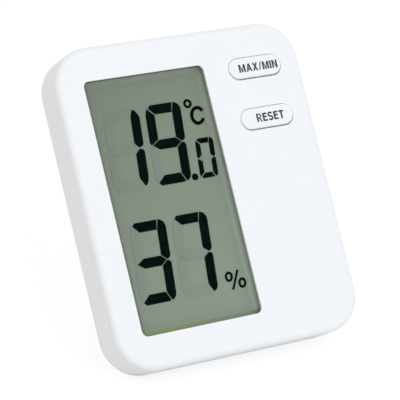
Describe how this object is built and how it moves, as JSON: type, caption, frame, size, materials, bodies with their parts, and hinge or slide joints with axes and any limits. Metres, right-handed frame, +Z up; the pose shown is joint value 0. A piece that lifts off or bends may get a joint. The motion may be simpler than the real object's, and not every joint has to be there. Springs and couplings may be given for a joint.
{
  "type": "digital thermo-hygrometer",
  "caption": "Battery-powered desk thermo-hygrometer: white round-cornered case, tall liquid crystal display, two push buttons, fold-out stand and keyhole for wall hanging.",
  "frame": {"origin": "bottom centre of the object's bounding box, on the table that it stands on", "axes": "+Z up; the display faces -Y and leans back by 29.27 degrees on the open stand; +X to the right as seen from the front"},
  "size_m": [0.088, 0.0634, 0.0976],
  "materials": {
    "white_abs": "fine satin moulding texture",
    "clear_pane": "clear gloss",
    "polariser_film": "anti-glare film",
    "lcd_glass": "clear float glass",
    "lit_segment": "switched-on segments, near black",
    "idle_segment": "switched-off segments, hardly visible",
    "lcd_ground": "grey-green reflector",
    "holder_plastic": "satin",
    "dark_rubber": "matte",
    "green_board": "solder mask",
    "black_resin": "cured drop, soft gloss",
    "tinned_metal": "drawn can",
    "capacitor_sleeve": "shrink sleeve",
    "ceramic_parts": "fired ceramic with tinned ends",
    "sensor_plastic": "satin",
    "thermistor_glaze": "glazed bead",
    "screw_steel": "zinc plated",
    "white_button": "satin",
    "pad_rubber": "matte silicone",
    "cell_sleeve": "plain printed sleeve with metal ends",
    "contact_plating": "nickel plated spring steel",
    "red_insulation": "satin",
    "black_insulation": "satin"
  },
  "bodies": {
    "case": {"front_case": "white_abs", "rear_case": "white_abs", "display_window": "clear_pane", "lcd_front_polariser": "polariser_film", "lcd_front_glass": "lcd_glass", "lcd_lit_segments": "lit_segment", "lcd_idle_segments": "idle_segment", "lcd_rear_glass": "lcd_glass", "lcd_reflector": "lcd_ground", "lcd_holder": "holder_plastic", "lcd_rubber_strip": "dark_rubber", "main_board": "green_board", "chip_cap": "black_resin", "quartz_crystal": "tinned_metal", "round_capacitor": "capacitor_sleeve", "chip_parts": "ceramic_parts", "humidity_sensor": "sensor_plastic", "temperature_sensor": "thermistor_glaze", "board_screws": "screw_steel", "max_min_pad": "pad_rubber", "reset_pad": "pad_rubber", "battery": "cell_sleeve", "battery_plate_positive": "contact_plating", "battery_plate_negative": "contact_plating", "battery_spring": "contact_plating", "lead_red": "red_insulation", "lead_black": "black_insulation", "case_screws": "screw_steel"},
    "max_min_button": {"max_min_button": "white_button"},
    "reset_button": {"reset_button": "white_button"},
    "battery_cover": {"battery_cover": "white_abs", "battery_cover_latch": "white_abs"},
    "stand": {"stand": "white_abs"}
  },
  "joints": [
    {"name": "max_min_press", "type": "slide", "parent": "case", "child": "max_min_button", "axis": [0, 0.8723, -0.4889], "range_m": [0, 0.0008], "stiffness_N_per_m": 900, "springref_m": -0.0002, "deforming": ["max_min_pad"]},
    {"name": "reset_press", "type": "slide", "parent": "case", "child": "reset_button", "axis": [0, 0.8723, -0.4889], "range_m": [0, 0.0008], "stiffness_N_per_m": 900, "springref_m": -0.0002, "deforming": ["reset_pad"]},
    {"name": "stand_fold", "type": "hinge", "parent": "case", "child": "stand", "pos_m": [0, 0.00241, 0.03992], "axis": [-1, 0, 0], "range_deg": [0, 43.78]},
    {"name": "battery_cover_swing", "type": "hinge", "parent": "case", "child": "battery_cover", "pos_m": [0.0255, -0.01657, 0.00402], "axis": [-1, 0, 0], "range_deg": [0, 35], "deforming": ["battery_cover_latch"]}
  ]
}
